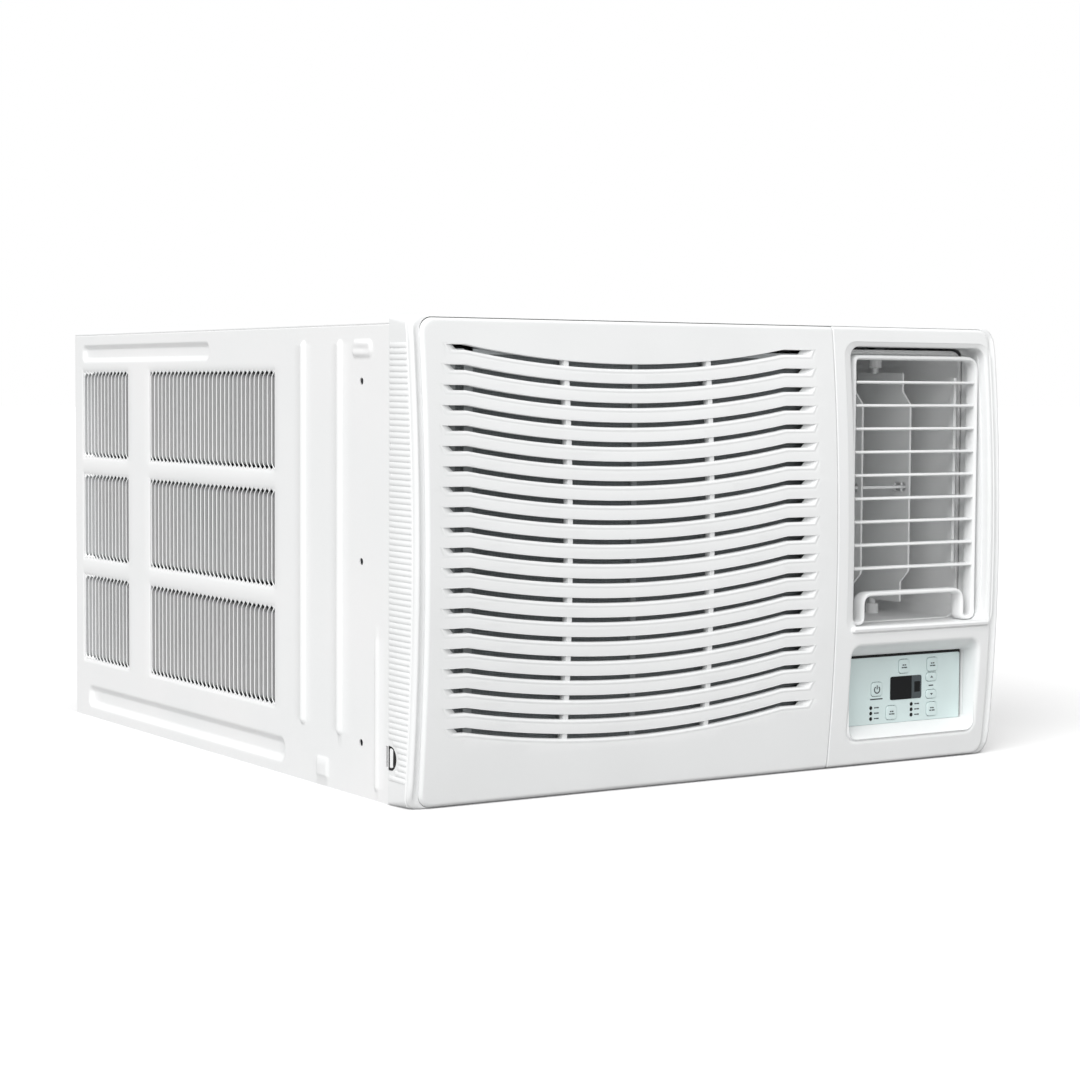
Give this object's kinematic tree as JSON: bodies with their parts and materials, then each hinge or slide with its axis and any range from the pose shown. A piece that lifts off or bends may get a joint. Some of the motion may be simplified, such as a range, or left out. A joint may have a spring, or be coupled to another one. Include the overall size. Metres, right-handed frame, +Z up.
{
  "type": "window air conditioner",
  "caption": "Window air conditioner: louvred steel case behind a crowned plastic front with a slotted intake grille, louvred air outlet and push-button panel.",
  "frame": {"origin": "middle of the underside of the whole unit, front and case together", "axes": "+X to the right of a person who faces the front, +Y from the room side to the outdoor side, +Z up"},
  "size_m": [0.68, 0.771, 0.43],
  "materials": {
    "white_plastic": "fine satin moulded skin",
    "white_paint": "satin powder coat",
    "grey_plastic": "satin",
    "dark_display": "smoked gloss",
    "mint_film": "satin printed film",
    "foam": "moulded bead foam",
    "galvanised": "galvanised sheet",
    "black_paint": "semi gloss black",
    "copper": "drawn copper tube",
    "fins": "stamped fins",
    "rubber": "moulded",
    "filter_net": "woven plastic net in a moulded frame",
    "board": "solder mask",
    "dark_plastic": "satin"
  },
  "bodies": {
    "cabinet": {"front_frame": "white_plastic", "louvre_frame": "white_plastic", "discharge_duct": "foam", "swing_motor": "galvanised", "control_fascia": "mint_film", "display_window": "dark_display", "indicator_lights_left": "grey_plastic", "indicator_lights_right": "grey_plastic", "control_board": "board", "control_box": "galvanised", "run_capacitor": "grey_plastic", "left_side_panel": "white_paint", "right_side_panel": "white_paint", "top_cover": "white_paint", "base_pan": "galvanised", "cord_grommet": "grey_plastic", "evaporator_coil": "fins", "evaporator_bends": "copper", "drain_tray": "grey_plastic", "blower_housing": "foam", "bulkhead": "galvanised", "fan_motor": "black_paint", "motor_bracket": "galvanised", "fan_shroud": "galvanised", "condenser_coil": "fins", "condenser_bends": "copper", "compressor": "black_paint", "accumulator": "black_paint", "discharge_pipe": "copper", "suction_pipe": "copper", "liquid_pipe": "copper", "compressor_mount_1": "rubber", "compressor_mount_2": "rubber", "compressor_mount_3": "rubber"},
    "grille": {"intake_grille": "white_plastic", "air_filter": "filter_net"},
    "rotor": {"motor_shaft": "galvanised", "blower_wheel": "grey_plastic", "condenser_fan": "dark_plastic"},
    "blade_link": {"blade_link": "white_plastic"},
    "vane_left": {"vertical_vane_left": "white_plastic"},
    "vane_right": {"vertical_vane_right": "white_plastic"},
    "vane_link": {"vane_link": "white_plastic"},
    "blade_1": {"horizontal_blade_1": "white_plastic"},
    "blade_2": {"horizontal_blade_2": "white_plastic"},
    "blade_3": {"horizontal_blade_3": "white_plastic"},
    "blade_4": {"horizontal_blade_4": "white_plastic"},
    "blade_5": {"horizontal_blade_5": "white_plastic"},
    "blade_6": {"horizontal_blade_6": "white_plastic"},
    "blade_7": {"horizontal_blade_7": "white_plastic"},
    "blade_8": {"horizontal_blade_8": "white_plastic"},
    "blade_9": {"horizontal_blade_9": "white_plastic"},
    "power_key": {"power_button": "mint_film"},
    "fan_speed_key": {"fan_speed_button": "mint_film"},
    "swing_key": {"swing_button": "mint_film"},
    "temperature_up_key": {"temperature_up_button": "mint_film"},
    "temperature_down_key": {"temperature_down_button": "mint_film"},
    "mode_key": {"mode_button": "mint_film"},
    "timer_key": {"timer_button": "mint_film"}
  },
  "joints": [
    {"name": "grille_hinge", "type": "hinge", "parent": "cabinet", "child": "grille", "pos_m": [-0.1, -0.36964, 0.423], "axis": [-1, 0, 0], "range_deg": [0, 75]},
    {"name": "rotor_spin", "type": "hinge", "parent": "cabinet", "child": "rotor", "pos_m": [-0.04, 0.0655, 0.225], "axis": [0, 1, 0], "continuous": true},
    {"name": "blade_link_lift", "type": "slide", "parent": "cabinet", "child": "blade_link", "axis": [0, 0, 1], "range_m": [-0.0056, 0.0056]},
    {"name": "blade_1_tilt", "type": "hinge", "parent": "cabinet", "child": "blade_1", "pos_m": [0.238, -0.3595, 0.3755], "axis": [1, 0, 0], "range_deg": [-25, 25]},
    {"name": "blade_2_tilt", "type": "hinge", "parent": "cabinet", "child": "blade_2", "pos_m": [0.238, -0.3595, 0.3527], "axis": [1, 0, 0], "range_deg": [-25, 25]},
    {"name": "blade_3_tilt", "type": "hinge", "parent": "cabinet", "child": "blade_3", "pos_m": [0.238, -0.3595, 0.3299], "axis": [1, 0, 0], "range_deg": [-25, 25]},
    {"name": "blade_4_tilt", "type": "hinge", "parent": "cabinet", "child": "blade_4", "pos_m": [0.238, -0.3595, 0.3071], "axis": [1, 0, 0], "range_deg": [-25, 25]},
    {"name": "blade_5_tilt", "type": "hinge", "parent": "cabinet", "child": "blade_5", "pos_m": [0.238, -0.3595, 0.2843], "axis": [1, 0, 0], "range_deg": [-25, 25]},
    {"name": "blade_6_tilt", "type": "hinge", "parent": "cabinet", "child": "blade_6", "pos_m": [0.238, -0.3595, 0.2615], "axis": [1, 0, 0], "range_deg": [-25, 25]},
    {"name": "blade_7_tilt", "type": "hinge", "parent": "cabinet", "child": "blade_7", "pos_m": [0.238, -0.3595, 0.2387], "axis": [1, 0, 0], "range_deg": [-25, 25]},
    {"name": "blade_8_tilt", "type": "hinge", "parent": "cabinet", "child": "blade_8", "pos_m": [0.238, -0.3595, 0.2159], "axis": [1, 0, 0], "range_deg": [-25, 25]},
    {"name": "blade_9_tilt", "type": "hinge", "parent": "cabinet", "child": "blade_9", "pos_m": [0.238, -0.3595, 0.1931], "axis": [1, 0, 0], "range_deg": [-25, 25]},
    {"name": "vane_right_swing", "type": "hinge", "parent": "cabinet", "child": "vane_right", "pos_m": [0.27, -0.2685, 0.27], "axis": [0, 0, 1], "range_deg": [-20, 20]},
    {"name": "vane_left_swing", "type": "hinge", "parent": "cabinet", "child": "vane_left", "pos_m": [0.2075, -0.2685, 0.27], "axis": [0, 0, 1], "range_deg": [-20, 20]},
    {"name": "vane_link_shift", "type": "slide", "parent": "cabinet", "child": "vane_link", "axis": [1, 0, 0], "range_m": [-0.016, 0.016]},
    {"name": "power_press", "type": "slide", "parent": "cabinet", "child": "power_key", "axis": [0, 1, 0], "range_m": [0, 0.0008], "stiffness_N_per_m": 800},
    {"name": "fan_speed_press", "type": "slide", "parent": "cabinet", "child": "fan_speed_key", "axis": [0, 1, 0], "range_m": [0, 0.0008], "stiffness_N_per_m": 800},
    {"name": "swing_press", "type": "slide", "parent": "cabinet", "child": "swing_key", "axis": [0, 1, 0], "range_m": [0, 0.0008], "stiffness_N_per_m": 800},
    {"name": "temperature_up_press", "type": "slide", "parent": "cabinet", "child": "temperature_up_key", "axis": [0, 1, 0], "range_m": [0, 0.0008], "stiffness_N_per_m": 800},
    {"name": "temperature_down_press", "type": "slide", "parent": "cabinet", "child": "temperature_down_key", "axis": [0, 1, 0], "range_m": [0, 0.0008], "stiffness_N_per_m": 800},
    {"name": "mode_press", "type": "slide", "parent": "cabinet", "child": "mode_key", "axis": [0, 1, 0], "range_m": [0, 0.0008], "stiffness_N_per_m": 800},
    {"name": "timer_press", "type": "slide", "parent": "cabinet", "child": "timer_key", "axis": [0, 1, 0], "range_m": [0, 0.0008], "stiffness_N_per_m": 800}
  ],
  "couplings": [
    {"joint": "blade_1_tilt", "follows": "blade_link_lift", "rad_per_m": 76.923},
    {"joint": "blade_2_tilt", "follows": "blade_link_lift", "rad_per_m": 76.923},
    {"joint": "blade_3_tilt", "follows": "blade_link_lift", "rad_per_m": 76.923},
    {"joint": "blade_4_tilt", "follows": "blade_link_lift", "rad_per_m": 76.923},
    {"joint": "blade_5_tilt", "follows": "blade_link_lift", "rad_per_m": 76.923},
    {"joint": "blade_6_tilt", "follows": "blade_link_lift", "rad_per_m": 76.923},
    {"joint": "blade_7_tilt", "follows": "blade_link_lift", "rad_per_m": 76.923},
    {"joint": "blade_8_tilt", "follows": "blade_link_lift", "rad_per_m": 76.923},
    {"joint": "blade_9_tilt", "follows": "blade_link_lift", "rad_per_m": 76.923},
    {"joint": "vane_left_swing", "follows": "vane_right_swing", "ratio": 1},
    {"joint": "vane_link_shift", "follows": "vane_right_swing", "m_per_rad": 0.043}
  ]
}
